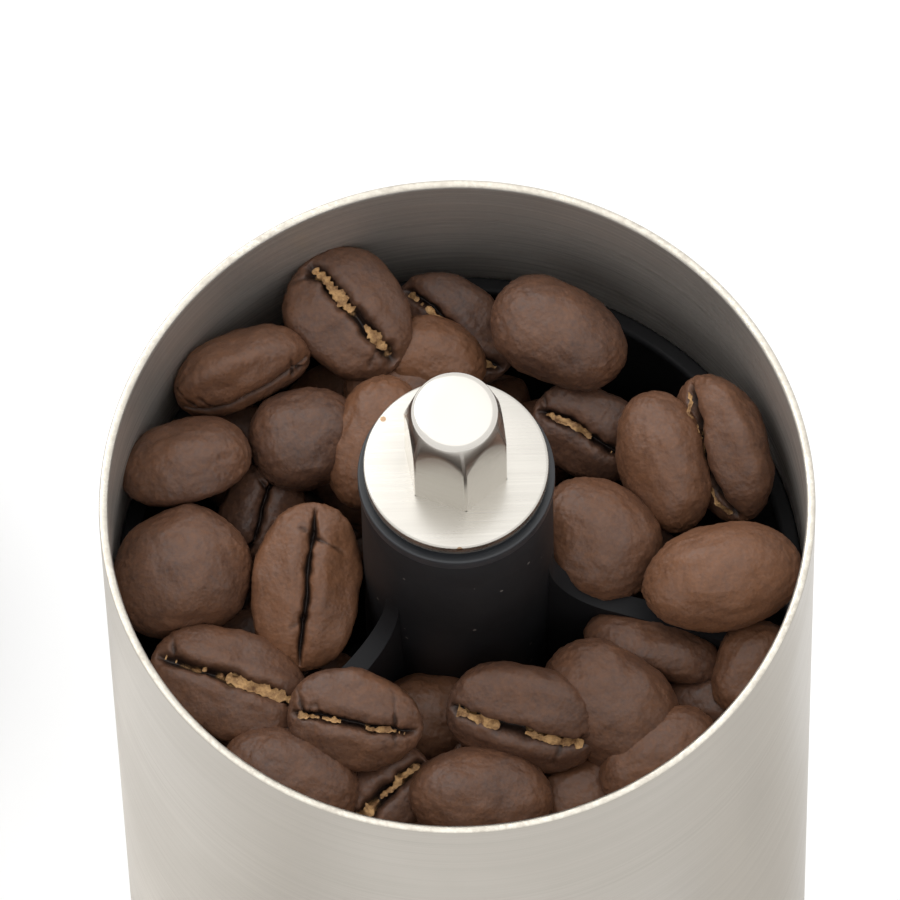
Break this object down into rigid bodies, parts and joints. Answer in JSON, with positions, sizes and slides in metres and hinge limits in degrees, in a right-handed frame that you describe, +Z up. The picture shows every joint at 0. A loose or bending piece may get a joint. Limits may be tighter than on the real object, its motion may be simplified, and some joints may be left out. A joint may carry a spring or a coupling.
{
  "type": "hand crank coffee grinder",
  "caption": "Slim steel canister mill with an open hopper, hexagonal drive head, burrs over a grounds cup, and its lid and crank laid beside it.",
  "frame": {"origin": "centre of the grounds cup's underside, on the table", "axes": "+Z up along the drive shaft; +X towards the laid-down lid, -X towards the laid-down crank"},
  "size_m": [0.15, 0.1339, 0.1456],
  "materials": {
    "satin_steel": "satin, finely brushed around the body",
    "bright_steel": "bright machined satin",
    "spring_steel": "plain",
    "liner_black": "smooth moulded gloss",
    "bush_black": "smooth moulded gloss",
    "moulded_black": "fine moulded grain",
    "burr_ceramic": "unglazed, fired white",
    "seal_rubber": "matt",
    "nut_brass": "machined"
  },
  "bodies": {
    "cup": {"grounds_cup": "satin_steel"},
    "mill": {"upper_shell": "satin_steel", "hopper_frame": "liner_black", "upper_bush": "bush_black", "lower_bush": "bush_black", "burr_holder": "moulded_black", "cup_seal": "seal_rubber", "outer_burr": "burr_ceramic"},
    "drive": {"drive_shaft": "bright_steel", "drive_flange": "bright_steel", "thrust_washer": "spring_steel", "shaft_clip": "spring_steel", "burr_spring": "spring_steel"},
    "burr": {"inner_burr": "burr_ceramic", "burr_core": "moulded_black", "spring_seat": "spring_steel", "click_washer": "spring_steel"},
    "dial": {"adjusting_dial": "moulded_black", "dial_nut": "nut_brass"},
    "lid": {"lid_plate": "satin_steel", "lid_insert": "liner_black"},
    "crank": {"crank_arm": "satin_steel", "crank_socket": "bright_steel", "knob_pin": "bright_steel", "knob_washer": "spring_steel"},
    "knob": {"crank_knob": "moulded_black", "knob_cap": "bright_steel"}
  },
  "joints": [
    {"name": "mill_lift", "type": "slide", "parent": "cup", "child": "mill", "axis": [0, 0, 1], "range_m": [0, 0.08]},
    {"name": "drive_spin", "type": "hinge", "parent": "mill", "child": "drive", "pos_m": [0, 0, 0.1], "axis": [0, 0, 1], "continuous": true},
    {"name": "burr_feed", "type": "slide", "parent": "drive", "child": "burr", "axis": [0, 0, -1], "range_m": [0, 0.0015], "deforming": ["burr_spring"]},
    {"name": "dial_turn", "type": "hinge", "parent": "burr", "child": "dial", "pos_m": [0, 0, 0.055], "axis": [0, 0, 1], "range_deg": [0, 540]},
    {"name": "lid_lift", "type": "slide", "parent": "cup", "child": "lid", "axis": [0, 0, 1], "range_m": [0, 0.16]},
    {"name": "crank_lift", "type": "slide", "parent": "cup", "child": "crank", "axis": [0, 0, 1], "range_m": [0, 0.16]},
    {"name": "knob_spin", "type": "hinge", "parent": "crank", "child": "knob", "pos_m": [-0.052, 0.05803, 0.00314], "axis": [0, 0.074, 0.9973], "continuous": true}
  ],
  "couplings": [
    {"joint": "dial_turn", "follows": "burr_feed", "rad_per_m": 6283.1}
  ]
}
